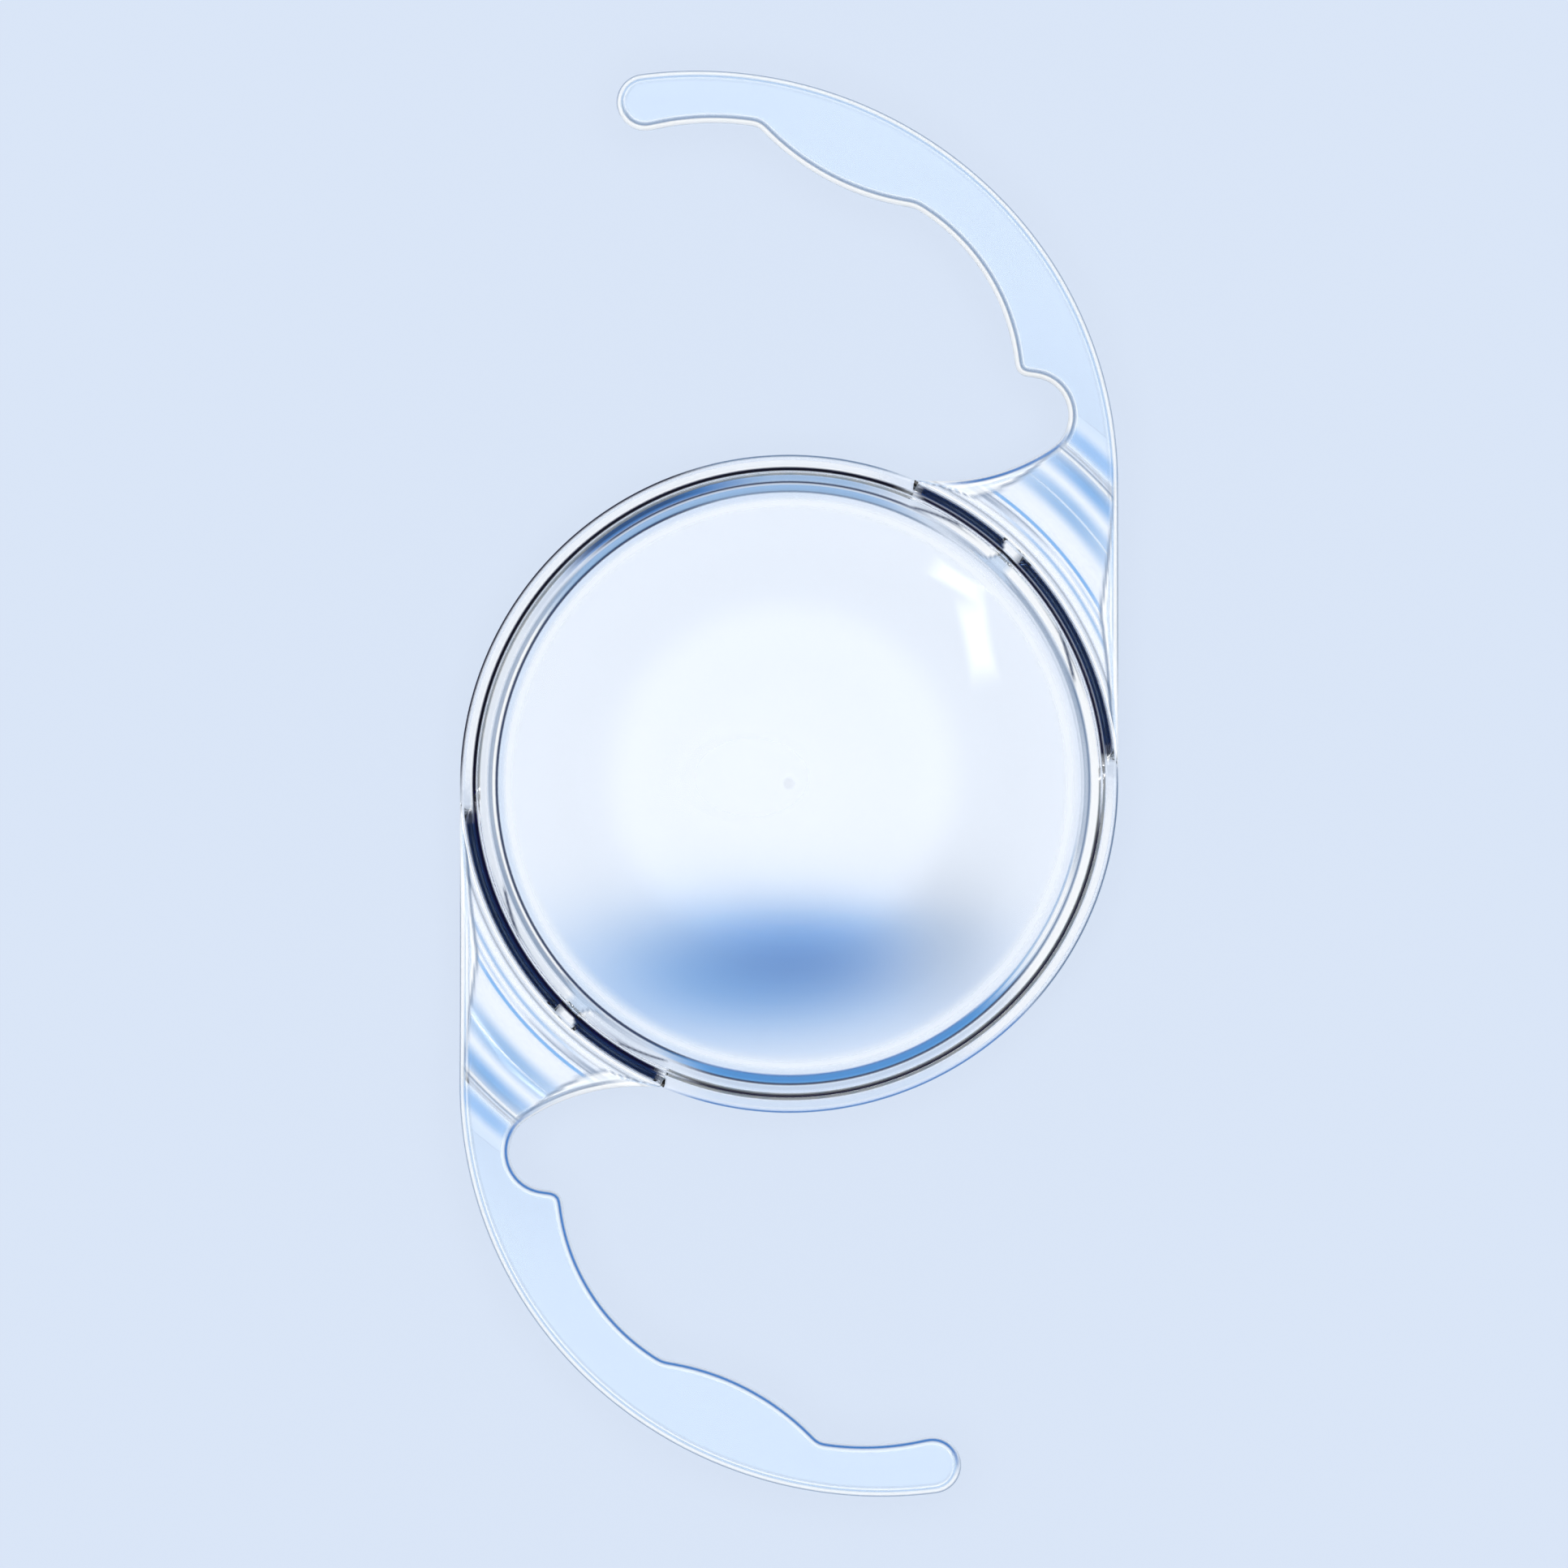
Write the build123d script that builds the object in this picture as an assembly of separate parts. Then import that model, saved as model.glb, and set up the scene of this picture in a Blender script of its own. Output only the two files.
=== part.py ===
"""One-piece intraocular lens: a clear biconvex optic with two open-loop haptics.

The lens is turned and milled from one blank of clear soft acrylic, so it is one solid.
Frame: +Z is the front (anterior) side, the optical axis is Z, the origin is the back
(posterior) vertex, on which the lens lies, and the haptics reach along Y. The soft
acrylic flattens by a hundredth of a millimetre where it lies on that vertex.
The faces are turned about the optical axis, and the outline is cut straight down.
"""
from build123d import *
import os
from math import radians, sin, sqrt

# Main sizes, in millimetres; the sweeps and places round the rim are in degrees
overall_length = 13.0
optic_diameter = 6.0
centre_thickness = 0.74
dome_radius = 12.76
rest_spot_diameter = 1.0

# Rim seen from the back: a flat land outside the dome, then a lip with a square edge
back_rim_width = 0.246
lip_width = 0.115
lip_slope_width = 0.03
lip_height = 0.04

# Rim seen from the front: a small wall at the foot of the dome, a sloped band, a flat land
front_rim_width = 0.34
foot_wall_width = 0.012
foot_wall_height = 0.035
rim_band_width = 0.17
rim_thickness = 0.28

# Haptic plate: its back stands forward of the lip, above a sloped undercut
undercut_height = 0.10
undercut_rim_gap = 0.022
lip_land_width = 0.018
haptic_thickness = 0.44
haptic_edge_round = 0.08

# Root of a haptic, outwards from the rim: land, shelf, hollow ramp, crease and shoulder
root_land_reach = 0.06
root_shelf_width = 0.20
root_shelf_rise = 0.02
ramp_length = 0.65
ramp_hollow = 0.02
crease_width = 0.09
crease_depth = 0.08
shoulder_width = 0.25
shoulder_drop = 0.012

# Outline of a haptic, from the straight side of its root to the rounded tip
root_arc_radius = 3.70
root_arc_sweep = 45.0
end_arc_radius = 3.90
end_arc_sweep = 52.4
tip_radius = 0.26
tip_sweep = 186.0
arm_radius = 2.425
arm_sweep = 23.1

# Outline of a haptic, back along its inner side to the rim: how far each stretch bows
paddle_bow = 0.14
inner_arc_bow = 0.233
notch_bow = 0.28
root_side_bow = 0.125
root_inner_angle = 67.6

# Corners of the inner side: across as shares of the optic's radius, and along as
# shares of half the overall length
paddle_end_shares = (0.380, 0.8074)
notch_corner_shares = (0.690, 0.5677)
neck_corner_shares = (0.815, 0.4769)

# Small rounds where those stretches meet
arm_corner_round = 0.20
paddle_corner_round = 0.20
notch_corner_round = 0.12
neck_corner_round = 0.18
root_corner_round = 0.12

# Small tab that bridges the undercut in the middle of each root
tab_angle = 46.3
tab_inner_width = 0.13
tab_outer_width = 0.24

# The lip runs on a little past the place where a haptic's straight side leaves the rim
lip_run_on = 4.0

# The turned section reaches this far past the tips
overrun = 0.5

optic_radius = optic_diameter / 2
rest_spot_radius = rest_spot_diameter / 2
half_length = overall_length / 2
back_dome_reach = optic_radius - back_rim_width
front_dome_reach = optic_radius - front_rim_width
lip_inner = optic_radius - lip_width
undercut_inner = lip_inner + lip_land_width
undercut_outer = optic_radius - undercut_rim_gap


def dome_drop(reach):
    """How far a dome has fallen from its vertex at this distance from the axis."""
    return dome_radius - sqrt(dome_radius ** 2 - reach ** 2)


# Levels above the surface that the lens lies on
back_land_level = dome_drop(back_dome_reach) - dome_drop(rest_spot_radius)
lip_level = back_land_level - lip_height
haptic_back_level = lip_level + undercut_height
plate_level = haptic_back_level + haptic_thickness
rim_level = back_land_level + rim_thickness
foot_level = centre_thickness - dome_drop(front_dome_reach)


def turned_section():
    """Half section of all that is turned, from the optical axis out past the tips."""
    back_halfway = (rest_spot_radius + back_dome_reach) / 2
    back_middle = (back_halfway, dome_drop(back_halfway) - dome_drop(rest_spot_radius))
    front_middle = (front_dome_reach / 2, centre_thickness - dome_drop(front_dome_reach / 2))
    blank_reach = half_length + overrun
    foot_outer = front_dome_reach + foot_wall_width
    root_land_end = optic_radius + root_land_reach
    ramp_start = root_land_end + root_shelf_width
    ramp_end = ramp_start + ramp_length
    crease_end = ramp_end + crease_width
    ramp_foot = rim_level + root_shelf_rise
    ramp_top = plate_level - crease_depth
    ramp_middle = (ramp_start + ramp_length / 2, (ramp_foot + ramp_top) / 2 - ramp_hollow)
    rest_spot = Line((0, 0), (rest_spot_radius, 0))
    back_dome = ThreePointArc(rest_spot @ 1, back_middle, (back_dome_reach, back_land_level))
    back_side = Polyline(
        (back_dome_reach, back_land_level),
        (lip_inner - lip_slope_width, back_land_level),
        (lip_inner, lip_level),
        (undercut_inner, lip_level),
        (undercut_outer, haptic_back_level),
        (blank_reach, haptic_back_level),
        (blank_reach, plate_level),
        (crease_end + shoulder_width, plate_level),
        (crease_end, plate_level - shoulder_drop),
        (ramp_end, ramp_top),
    )
    ramp = ThreePointArc((ramp_end, ramp_top), ramp_middle, (ramp_start, ramp_foot))
    front_side = Polyline(
        (ramp_start, ramp_foot),
        (root_land_end, rim_level),
        (foot_outer + rim_band_width, rim_level),
        (foot_outer, foot_level + foot_wall_height),
        (front_dome_reach, foot_level),
    )
    front_dome = ThreePointArc((front_dome_reach, foot_level), front_middle, (0, centre_thickness))
    axis_line = Line((0, centre_thickness), (0, 0))
    back = rest_spot + back_dome + back_side
    return make_face(Plane.XZ * (back + ramp + front_side + front_dome + axis_line))


def haptic_edges():
    """Outline of the haptic on the +X side, from the rim round the tip and back to the rim."""
    bend_rise = (end_arc_radius - root_arc_radius) * sin(radians(root_arc_sweep))
    side_top = (optic_radius, half_length - end_arc_radius + bend_rise)
    paddle_end = (optic_radius * paddle_end_shares[0], half_length * paddle_end_shares[1])
    notch_corner = (optic_radius * notch_corner_shares[0], half_length * notch_corner_shares[1])
    neck_corner = (optic_radius * neck_corner_shares[0], half_length * neck_corner_shares[1])
    rim_corner = Vector(optic_radius, 0).rotate(Axis.Z, root_inner_angle)
    side = Line((optic_radius, 0), side_top)
    root_arc = JernArc(side @ 1, side % 1, root_arc_radius, root_arc_sweep)
    end_arc = JernArc(root_arc @ 1, root_arc % 1, end_arc_radius, end_arc_sweep)
    tip = JernArc(end_arc @ 1, end_arc % 1, tip_radius, tip_sweep)
    arm = JernArc(tip @ 1, tip % 1, arm_radius, -arm_sweep)
    paddle = SagittaArc(arm @ 1, paddle_end, -paddle_bow)
    inner_arc = SagittaArc(paddle_end, notch_corner, inner_arc_bow)
    notch = SagittaArc(notch_corner, neck_corner, notch_bow)
    root_side = SagittaArc(neck_corner, rim_corner, root_side_bow)
    return Curve() + [side, root_arc, end_arc, tip, arm, paddle, inner_arc, notch, root_side]


def rounded_corner(face, corner, radius):
    """The face with one corner of its outline, and the one opposite, rounded."""
    opposite = Vector(corner).rotate(Axis.Z, 180)
    face = fillet(face.vertices().sort_by_distance(corner)[0], radius)
    return fillet(face.vertices().sort_by_distance(opposite)[0], radius)


def lens_outline():
    """Outline of the whole lens: rim, haptic, then the same again half a turn round."""
    haptic = haptic_edges()
    free_rim = CenterArc((0, 0), optic_radius, root_inner_angle, 180 - root_inner_angle)
    half = haptic + free_rim
    face = make_face(half + Rot(0, 0, 180) * half)
    arm, paddle, inner_arc, notch, root_side = haptic.edges()[4:]
    face = rounded_corner(face, arm @ 1, arm_corner_round)
    face = rounded_corner(face, paddle @ 1, paddle_corner_round)
    face = rounded_corner(face, inner_arc @ 1, notch_corner_round)
    face = rounded_corner(face, notch @ 1, neck_corner_round)
    return rounded_corner(face, root_side @ 1, root_corner_round)


def milled_blank():
    """The outline cut through at haptic thickness, polished round, with the optic's core."""
    plate = extrude(Pos(0, 0, haptic_back_level) * lens_outline(), haptic_thickness)
    levels = plate.edges().group_by(Axis.Z)
    plate = fillet(levels[0] + levels[-1], haptic_edge_round)
    core_height = haptic_back_level + haptic_edge_round
    core = Cylinder(undercut_outer, core_height, align=(Align.CENTER, Align.CENTER, Align.MIN))
    return plate + core


def lip_segment():
    """The square-edged lip along the stretch of rim that carries no haptic."""
    height = haptic_back_level + haptic_edge_round - lip_level
    section = Pos(optic_radius, lip_level) * Rectangle(lip_width, height, align=(Align.MAX, Align.MIN))
    sweep = 180 + lip_run_on - root_inner_angle
    return Rot(0, 0, root_inner_angle) * revolve(Plane.XZ * section, Axis.Z, sweep)


def tab():
    """The tab across the undercut, wider where it meets the haptic than at the lip."""
    corners = [
        (undercut_inner, -tab_inner_width / 2),
        (undercut_outer, -tab_outer_width / 2),
        (undercut_outer, tab_outer_width / 2),
        (undercut_inner, tab_inner_width / 2),
    ]
    plan = make_face(Polyline(*corners, close=True))
    return Rot(0, 0, tab_angle) * extrude(Pos(0, 0, lip_level) * plan, undercut_height + haptic_edge_round)


lens = milled_blank() & revolve(turned_section(), Axis.Z)
for half_turn in (0, 180):
    lens += Rot(0, 0, half_turn) * lip_segment()
    lens += Rot(0, 0, half_turn) * tab()

os.makedirs("parts", exist_ok=True)
export_step(lens, "parts/lens.step")
print("volume", round(lens.volume, 3), "mm3, one sound solid:", lens.is_valid and len(lens.solids()) == 1)
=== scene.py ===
# %% [markdown]
# # A clear intraocular lens, lying on a pale table
#
# The real object is one piece of soft, clear acrylic, 13 mm long: a round optic that is
# 6 mm across, and two curved arms, the haptics, that hold it in the eye. It is turned on a
# lathe and then milled, so nearly every height on it depends only on the distance from the
# optical axis, and its outline is cut straight down. The mesh is worked out the same way:
# an outline first, and then two heights for every point inside it.

import bmesh
import bpy
import numpy as np
from mathutils import Matrix, Vector


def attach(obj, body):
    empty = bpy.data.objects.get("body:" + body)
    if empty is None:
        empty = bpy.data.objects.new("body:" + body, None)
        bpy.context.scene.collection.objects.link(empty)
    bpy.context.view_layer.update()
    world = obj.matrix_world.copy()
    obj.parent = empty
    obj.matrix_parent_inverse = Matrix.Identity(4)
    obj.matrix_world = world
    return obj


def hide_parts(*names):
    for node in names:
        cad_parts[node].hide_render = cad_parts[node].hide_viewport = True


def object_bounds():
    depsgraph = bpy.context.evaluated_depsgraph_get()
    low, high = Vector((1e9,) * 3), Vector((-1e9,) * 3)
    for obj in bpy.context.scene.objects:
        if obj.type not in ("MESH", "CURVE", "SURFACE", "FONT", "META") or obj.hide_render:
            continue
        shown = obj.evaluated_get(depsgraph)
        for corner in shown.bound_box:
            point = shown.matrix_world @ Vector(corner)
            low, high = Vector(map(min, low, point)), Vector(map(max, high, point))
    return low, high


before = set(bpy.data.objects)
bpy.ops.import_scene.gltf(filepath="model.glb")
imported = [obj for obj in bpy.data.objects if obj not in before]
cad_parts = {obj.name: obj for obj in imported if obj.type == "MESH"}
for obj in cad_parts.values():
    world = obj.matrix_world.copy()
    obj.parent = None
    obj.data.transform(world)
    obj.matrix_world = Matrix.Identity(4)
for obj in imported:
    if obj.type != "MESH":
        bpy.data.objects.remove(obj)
cad_low, cad_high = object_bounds()
MM = 0.001
print("CAD box in mm:", [round((b - a) / MM, 3) for a, b in zip(cad_low, cad_high)])

# %% [markdown]
# ## The sizes
#
# Three sizes come from the frame: how wide the optic is, how long the lens is, and the
# level of the haptics' front. The others are the steps that the lathe cuts into the front
# and the back, in millimetres. They could be typed in where each is used, but named once
# they make neighbouring faces meet exactly.

# %% Levels above the table
plate_level = cad_high.z / MM
centre_thickness = 0.74
haptic_thickness = 0.44
undercut_height = 0.10
lip_height = 0.04
rim_thickness = 0.28
foot_wall_height = 0.035
shelf_rise = 0.02
ramp_hollow = 0.02
crease_depth = 0.08
shoulder_drop = 0.012

haptic_back_level = plate_level - haptic_thickness
lip_level = haptic_back_level - undercut_height
back_land_level = lip_level + lip_height
rim_level = back_land_level + rim_thickness
shelf_level = rim_level + shelf_rise
ramp_top_level = plate_level - crease_depth
print("lip, rim and plate at", np.round([lip_level, rim_level, plate_level], 3), "mm")

# %% Distances from the axis
optic_radius = (cad_high.x - cad_low.x) / 2 / MM
half_length = (cad_high.y - cad_low.y) / 2 / MM
dome_radius = 12.76
rest_spot_radius = 0.5
back_rim_width, front_rim_width = 0.246, 0.34
foot_wall_width, rim_band_width = 0.012, 0.17
lip_width, lip_slope_width, lip_land_width = 0.115, 0.03, 0.018
undercut_rim_gap = 0.022
root_land_width, shelf_width, ramp_length = 0.06, 0.20, 0.65
crease_width, shoulder_width = 0.09, 0.25

back_dome_reach = optic_radius - back_rim_width
front_dome_reach = optic_radius - front_rim_width
foot_outer = front_dome_reach + foot_wall_width
band_outer = foot_outer + rim_band_width
lip_inner = optic_radius - lip_width
lip_slope_inner = lip_inner - lip_slope_width
undercut_inner = lip_inner + lip_land_width
undercut_outer = optic_radius - undercut_rim_gap
shelf_inner = optic_radius + root_land_width
ramp_inner = shelf_inner + shelf_width
ramp_outer = ramp_inner + ramp_length
crease_outer = ramp_outer + crease_width
shoulder_outer = crease_outer + shoulder_width
print("dome ends at", round(front_dome_reach, 3), "mm, ramp at", round(ramp_outer, 3), "mm")

# %% [markdown]
# ## The turned faces
#
# A lathe gives each face one height for each distance from the axis. Both domes are parts
# of a sphere, and the steps of the rim and the root are short straight lines between them,
# so each face is a formula in the middle and an interpolation outside it. A profile could
# also be spun with a Screw modifier, but the haptics would then have to be cut out of it,
# which leaves long thin faces. On the back the lip along the free rim gives way to an
# undercut below each haptic's root, with a small tab left across the middle of it, so the
# back also depends on the angle round the axis. Where it lies, the soft acrylic is pressed
# flat on a small round spot.

# %% Front face
# No dome reaches this far: the limit only keeps the square root's number above 0
dome_limit = 4.0


def dome_drop(reach):
    """Fall of a dome from its vertex: the sphere's radius less its height over this reach."""
    return dome_radius - np.sqrt(dome_radius**2 - np.minimum(reach, dome_limit) ** 2)


def front_height(reach):
    """Front face: the dome inside its foot, then the straight steps of rim, ramp and plate.

    The ramp is hollowed by a parabola, 4s(1 - s) of the share s of its length.
    """
    foot_level = centre_thickness - dome_drop(front_dome_reach)
    stations = [
        (front_dome_reach, foot_level),
        (foot_outer, foot_level + foot_wall_height),
        (band_outer, rim_level),
        (shelf_inner, rim_level),
        (ramp_inner, shelf_level),
        (ramp_outer, ramp_top_level),
        (crease_outer, plate_level - shoulder_drop),
        (shoulder_outer, plate_level),
    ]
    steps = np.interp(reach, *np.transpose(stations))
    share = np.clip((reach - ramp_inner) / (ramp_outer - ramp_inner), 0, 1)
    steps = steps - 4 * ramp_hollow * share * (1 - share)
    return np.where(reach < front_dome_reach, centre_thickness - dome_drop(reach), steps)


print("front at the foot:", round(float(front_height(np.array(front_dome_reach))), 3), "mm")

# %% Back face
# Angles round the axis in degrees, then sizes in mm; the fades keep the steps from tearing
root_end_angle = 67.6
lip_run_on = 4.0
step_angle = 0.8
tab_angle = 46.3
tab_half_width, tab_flare, tab_fade = 0.065, 0.055, 0.01
rim_fade, undercut_fade = 0.02, 0.05


def smooth_step(value, low, high):
    """Rises from 0 to 1 between low and high, as 3s2 - 2s3 of the share s of the way."""
    share = np.clip((value - low) / (high - low), 0, 1)
    return share * share * (3 - 2 * share)


def undercut_share(reach, angle):
    """1 below a haptic's root and 0 below the free rim and the tab, by the angle in degrees."""
    root = smooth_step(angle, lip_run_on - step_angle, lip_run_on)
    root = root * (1 - smooth_step(angle, root_end_angle - step_angle, root_end_angle))
    root = np.maximum(root, smooth_step(reach, optic_radius, optic_radius + undercut_fade))
    outwards = np.clip((reach - undercut_inner) / (undercut_outer - undercut_inner), 0, 1)
    tab_side = tab_half_width + tab_flare * outwards
    off_tab = np.abs(np.radians(angle - tab_angle)) * reach - tab_side
    near_rim = 1 - smooth_step(reach, optic_radius - rim_fade, optic_radius)
    tab = (1 - smooth_step(off_tab, -tab_fade, tab_fade)) * near_rim
    return root * (1 - tab)


def back_height(reach, angle):
    """Back face: rest spot, dome, land and lip, with the undercut mixed in below the roots."""
    dome = np.maximum(dome_drop(reach) - dome_drop(rest_spot_radius), 0)
    lip = np.interp(reach, [lip_slope_inner, lip_inner], [back_land_level, lip_level])
    undercut = np.interp(reach, [undercut_inner, undercut_outer], [lip_level, haptic_back_level])
    share = undercut_share(reach, angle)
    outside = np.where(reach > undercut_inner, lip * (1 - share) + undercut * share, lip)
    return np.where(reach < back_dome_reach, dome, outside)


print("back at the lip:", round(float(back_height(np.array(lip_inner), np.array(90.0))), 3), "mm")

# %% [markdown]
# ## The outline
#
# A haptic's outline is a chain of arcs. Its outer side leaves the rim along a straight
# tangent, bends on two arcs, and turns round the tip. Its inner side comes back by a narrow
# arm, a widened paddle, a long hollow arc, a round notch and the side of the root. A Bezier
# curve could be drawn over it by hand, but arcs keep to the sizes that a mill works to. The
# cutter leaves small rounds where arcs meet, and a short running mean along the line gives
# those.

# %% Arcs
outline_step = 0.004


def unit(angle):
    """Unit vectors at angles in degrees: the cosine and the sine side by side."""
    return np.stack([np.cos(np.radians(angle)), np.sin(np.radians(angle))], axis=-1)


def turning_arc(centre, radius, start, end):
    """Points at a fixed distance from a centre, between two angles given in degrees."""
    count = int(abs(np.radians(end - start)) * radius / outline_step) + 2
    return np.array(centre) + radius * unit(np.linspace(start, end, count))


def bowed_line(start, end, bow):
    """Arc between two points that stands this far off the chord, to the left of the way."""
    start, end = np.array(start), np.array(end)
    length = np.linalg.norm(end - start)
    along = (end - start) / length
    left = np.array([-along[1], along[0]])
    radius = (length**2 / 4 + bow**2) / (2 * bow)
    half_sweep = 2 * np.arctan(2 * bow / length)
    sweep = np.linspace(-half_sweep, half_sweep, int(length / outline_step) + 2)[:, None]
    centre = (start + end) / 2 + left * (bow - radius)
    return centre + radius * (np.sin(sweep) * along + np.cos(sweep) * left)


def chained(*pieces):
    """One line from several that meet end to end, each joint kept once."""
    return np.vstack([pieces[0]] + [piece[1:] for piece in pieces[1:]])


def eased(line, reach):
    """The line with its kinks rounded: a running mean with a bell-shaped weight.

    The weight is cut off at three times its reach. Past its ends the line goes on as its own
    image, turned half round the end point, so both ends stay where they are.
    """
    span = int(3 * reach / outline_step)
    weights = np.exp(-0.5 * (np.arange(-span, span + 1) * outline_step / reach) ** 2)
    weights /= weights.sum()
    head = 2 * line[0] - line[span:0:-1]
    tail = 2 * line[-1] - line[-2:-span - 2:-1]
    padded = np.vstack([head, line, tail])
    mean = [np.convolve(padded[:, axis], weights, mode="valid") for axis in (0, 1)]
    return np.column_stack(mean)


print("points on a quarter circle of 1 mm radius:", len(turning_arc((0, 0), 1, 0, 90)))

# %% Sizes and centres of a haptic's arcs
# Radii and bows in mm and sweeps in degrees; corners as shares of the two overall sizes
root_arc_radius, root_arc_sweep = 3.70, 45.0
end_arc_radius, end_arc_sweep = 3.90, 52.4
tip_radius, tip_sweep = 0.26, 186.0
arm_radius, arm_sweep = 2.425, 23.1
paddle_bow, inner_arc_bow, notch_bow, root_side_bow = 0.14, 0.233, 0.28, 0.125
paddle_end = np.array([0.380 * optic_radius, 0.8074 * half_length])
notch_corner = np.array([0.690 * optic_radius, 0.5677 * half_length])
neck_corner = np.array([0.815 * optic_radius, 0.4769 * half_length])
rim_corner = optic_radius * unit(root_end_angle)

end_angle = root_arc_sweep + end_arc_sweep
tip_middle_angle = end_angle + tip_sweep / 2
tip_end_angle = end_angle + tip_sweep
arc_growth = end_arc_radius - root_arc_radius
side_rise = half_length - end_arc_radius + arc_growth * unit(root_arc_sweep)[1]
root_centre = np.array([optic_radius - root_arc_radius, side_rise])
end_centre = root_centre - arc_growth * unit(root_arc_sweep)
tip_centre = end_centre + (end_arc_radius - tip_radius) * unit(end_angle)
arm_start = tip_centre + tip_radius * unit(tip_end_angle)
arm_centre = tip_centre + (tip_radius + arm_radius) * unit(tip_end_angle)
arm_end = arm_centre + arm_radius * unit(tip_end_angle - 180 - arm_sweep)
print("straight side rises to", round(side_rise, 3), "mm, tip turns about", tip_centre.round(3))

# %% Outer and inner side of a haptic
corner_ease = 0.035
notch_corner_ease, notch_ease_reach = 0.085, 0.22


def bell(value, centre, reach):
    """Bell shape, 1 at its centre: e to the minus square of the way off it over its reach."""
    return np.exp(-(((value - centre) / reach) ** 2))


side_steps = int(side_rise / outline_step)
side_heights = np.linspace(0, side_rise, side_steps)
outer_side = chained(
    np.column_stack([np.full(side_steps, optic_radius), side_heights]),
    turning_arc(root_centre, root_arc_radius, 0, root_arc_sweep),
    turning_arc(end_centre, end_arc_radius, root_arc_sweep, end_angle),
    turning_arc(tip_centre, tip_radius, end_angle, tip_middle_angle),
)
inner_side = chained(
    turning_arc(tip_centre, tip_radius, tip_middle_angle, tip_end_angle),
    turning_arc(arm_centre, arm_radius, tip_end_angle - 180, tip_end_angle - 180 - arm_sweep),
    bowed_line(arm_end, paddle_end, -paddle_bow),
    bowed_line(paddle_end, notch_corner, inner_arc_bow),
    bowed_line(notch_corner, neck_corner, notch_bow),
    bowed_line(neck_corner, rim_corner, root_side_bow),
)
off_notch = np.linalg.norm(inner_side - notch_corner, axis=1)
near_notch = bell(off_notch, 0, notch_ease_reach)[:, None]
crisp_line, soft_line = eased(inner_side, corner_ease), eased(inner_side, notch_corner_ease)
inner_side = (crisp_line + (soft_line - crisp_line) * near_notch)[::-1]
print("outer side ends at", outer_side[-1].round(3), "inner at", inner_side[-1].round(3))

# %% [markdown]
# ## Distance from the edge
#
# The edge of a haptic is polished round, so its faces fall away in the last hundredths of a
# millimetre before the outline. A Bevel modifier could round it, but here the distance from
# the edge is also what the finish needs further down, so it is measured for each point. The
# nearest of the outline's closely spaced points is found, and the step to it is measured
# square to the outline there, which is exact on a smooth line.

# %% Distance to a line
# Nearer than this many steps of the outline, the distance is measured square to it
square_steps = 5


def line_normals(line):
    """Unit vectors square to the line, turned a quarter left from the way it runs."""
    along = np.gradient(line, axis=0)
    along /= np.linalg.norm(along, axis=1)[:, None]
    return np.column_stack([-along[:, 1], along[:, 0]])


def distance_to(line, points, chunk=400):
    """Distance from each point to the line, with the place of the nearest point along it."""
    normals = line_normals(line)
    flat = points.reshape(-1, 2)
    far, place = [], []
    for part in np.array_split(flat, max(1, len(flat) // chunk)):
        squared = (part[:, :1] - line[:, 0]) ** 2 + (part[:, 1:] - line[:, 1]) ** 2
        nearest = squared.argmin(axis=1)
        straight = np.sqrt(squared[np.arange(len(part)), nearest])
        square = np.abs(((part - line[nearest]) * normals[nearest]).sum(axis=1))
        far.append(np.where(straight > square_steps * outline_step, straight, square))
        place.append(nearest)
    shape = points.shape[:-1]
    return np.concatenate(far).reshape(shape), np.concatenate(place).reshape(shape)


middle_of_tip = distance_to(outer_side, tip_centre[None])[0][0]
print("the tip's centre lies", round(float(middle_of_tip), 3), "mm inside the outline")

# %% [markdown]
# ## Rows across a haptic
#
# The haptic is a grid: rows across it and columns along it. Near the root each row is a
# circle round the optical axis, so that the shelf, ramp and crease, which are turned, fall
# exactly on rows. Filling the outline with triangles would be less work, but those edges
# would then run jagged across them. Further out the rows are straight, between matching
# places of the two sides, and at the tip they shorten to almost nothing.

# %% Rows of the root
guard = 0.004
first_row_gap, row_gap = 0.012, 0.0145
# The root's rows end on the outer side before this many lengths of its straight part
root_side_share = 1.4


def around(*reaches):
    """Each reach with a close neighbour on both sides, which keeps smooth shading true."""
    return np.concatenate([[reach - guard, reach, reach + guard] for reach in reaches])


def place_at_reach(line, reach, last):
    """Place along a line at which it first gets this far from the axis."""
    far = np.linalg.norm(line[:last], axis=1)
    return np.interp(reach, np.maximum.accumulate(far), np.arange(last))


def nearest_place(line, point):
    """Place along a line of its point nearest to this one."""
    return int(((line - point) ** 2).sum(axis=1).argmin())


root_reaches = np.unique(np.concatenate([
    [optic_radius],
    np.arange(optic_radius + first_row_gap, shoulder_outer, row_gap),
    around(shelf_inner, ramp_inner, ramp_outer, crease_outer),
    [shoulder_outer],
]).round(5))
root_outer = place_at_reach(outer_side, root_reaches, int(root_side_share * side_steps))
root_inner = place_at_reach(inner_side, root_reaches, nearest_place(inner_side, notch_corner))
root_inner[0] = 0
print("rows in the root:", len(root_reaches))

# %% Rows from the root to the tip
notch_row_angle = 25.0
tip_rows, tip_last_angle = 15, 88.0


def across_from(corner):
    """Point of the end arc that lies straight out from its centre behind a corner."""
    way = (corner - end_centre) / np.linalg.norm(corner - end_centre)
    return end_centre + end_arc_radius * way


def at(line, place):
    """Points of a line at fractional places along it."""
    numbers = np.arange(len(line))
    return np.column_stack([np.interp(place, numbers, line[:, axis]) for axis in (0, 1)])


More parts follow.
